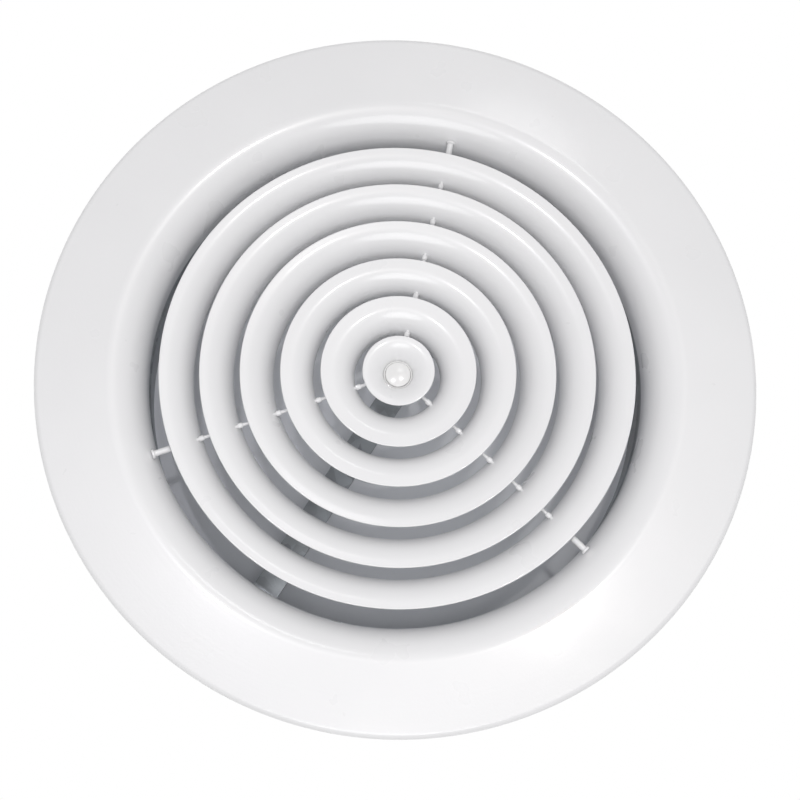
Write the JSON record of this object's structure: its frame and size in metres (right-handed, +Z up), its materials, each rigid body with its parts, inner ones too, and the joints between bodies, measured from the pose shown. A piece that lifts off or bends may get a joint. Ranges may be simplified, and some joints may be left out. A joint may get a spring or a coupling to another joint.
{
  "type": "ceiling air diffuser",
  "caption": "Round ceiling air diffuser with a wide bell-mouthed face, a duct neck and a nest of flared cones that a central screw raises and lowers.",
  "frame": {"origin": "centre of the ceiling plane, where the gasket on the back of the face meets the ceiling", "axes": "+Z up along the diffuser's axis into the duct, so the face looks down along -Z; +X 43.8 degrees before the first row of spacer pins, counted round +Z"},
  "size_m": [0.42, 0.42, 0.073],
  "materials": {
    "white_powder_coat": "gloss",
    "galvanised_sheet": "satin",
    "foam_seal": "matte",
    "zinc_plate": "satin",
    "black_spring_steel": "satin",
    "white_plastic": "gloss"
  },
  "bodies": {
    "frame": {"face_frame": "white_powder_coat", "duct_neck": "galvanised_sheet", "ceiling_gasket": "foam_seal", "cross_bar": "galvanised_sheet", "bar_nut": "zinc_plate", "bar_rivets": "zinc_plate"},
    "core": {"cone_1": "white_powder_coat", "cone_2": "white_powder_coat", "cone_3": "white_powder_coat", "cone_4": "white_powder_coat", "cone_5": "white_powder_coat", "centre_cone": "white_powder_coat", "foot_pins": "white_powder_coat", "spacer_pins_1": "white_powder_coat", "spacer_pins_2": "white_powder_coat", "spacer_pins_3": "white_powder_coat", "spacer_pins_4": "white_powder_coat", "spacer_pins_5": "white_powder_coat", "hub_bush": "white_plastic", "head_washer": "zinc_plate", "thrust_washer": "zinc_plate"},
    "screw": {"centre_screw": "zinc_plate", "retaining_ring": "black_spring_steel"},
    "cap": {"centre_cap": "white_plastic"}
  },
  "joints": [
    {"name": "core_slide", "type": "slide", "parent": "frame", "child": "core", "axis": [0, 0, -1], "range_m": [0, 0.015]},
    {"name": "screw_turn", "type": "hinge", "parent": "core", "child": "screw", "pos_m": [0, 0, 0.03], "axis": [0, 0, -1], "range_deg": [0, 5400]},
    {"name": "cap_pull", "type": "slide", "parent": "core", "child": "cap", "axis": [0, 0, -1], "range_m": [0, 0.012]}
  ],
  "couplings": [
    {"joint": "screw_turn", "follows": "core_slide", "rad_per_m": 6283.2}
  ]
}
